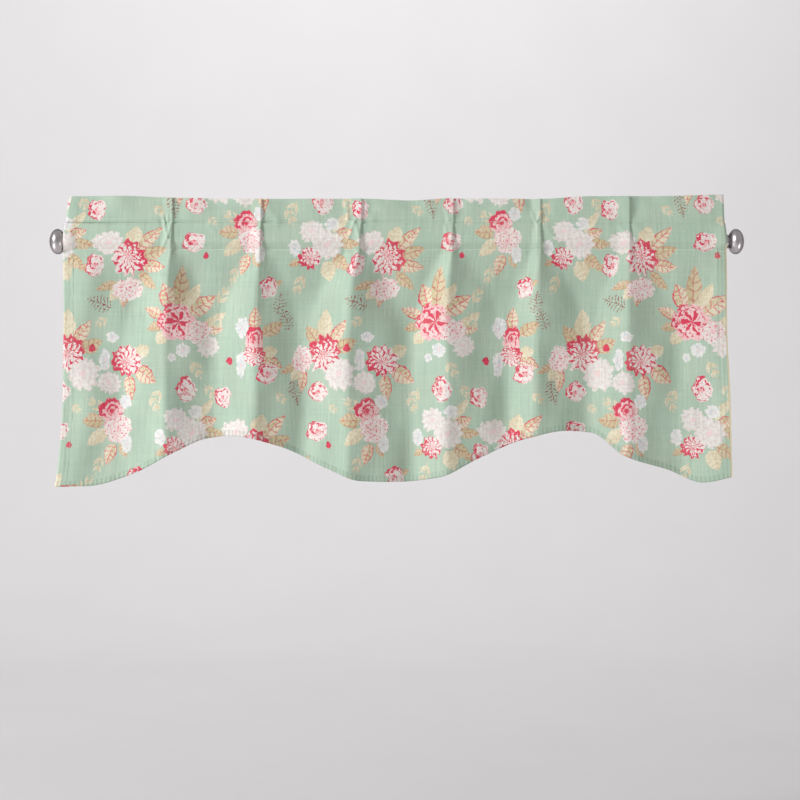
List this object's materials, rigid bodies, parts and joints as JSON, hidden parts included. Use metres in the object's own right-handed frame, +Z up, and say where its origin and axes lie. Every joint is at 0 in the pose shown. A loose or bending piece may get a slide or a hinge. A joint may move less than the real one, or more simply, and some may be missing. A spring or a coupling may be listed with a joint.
{
  "type": "window valance on curtain rod",
  "caption": "Gathered cotton window valance with a standing header, rod pocket and scalloped hem, hanging on a round curtain rod with knob finials.",
  "frame": {"origin": "on the rod's axis, half way along the rod, where the wall holds the rod up", "axes": "+X along the rod to the right as seen from the room, -Y towards the room, +Z up"},
  "size_m": [1.094, 0.0434, 0.4607],
  "materials": {
    "valance_cotton": "slub-woven cotton with a printed floral on sage green",
    "rod_metal": "satin",
    "finial_metal": "satin pewter"
  },
  "bodies": {
    "root": {"valance_cloth": "valance_cotton", "rod": "rod_metal", "finial_left": "finial_metal", "finial_right": "finial_metal"}
  },
  "joints": []
}
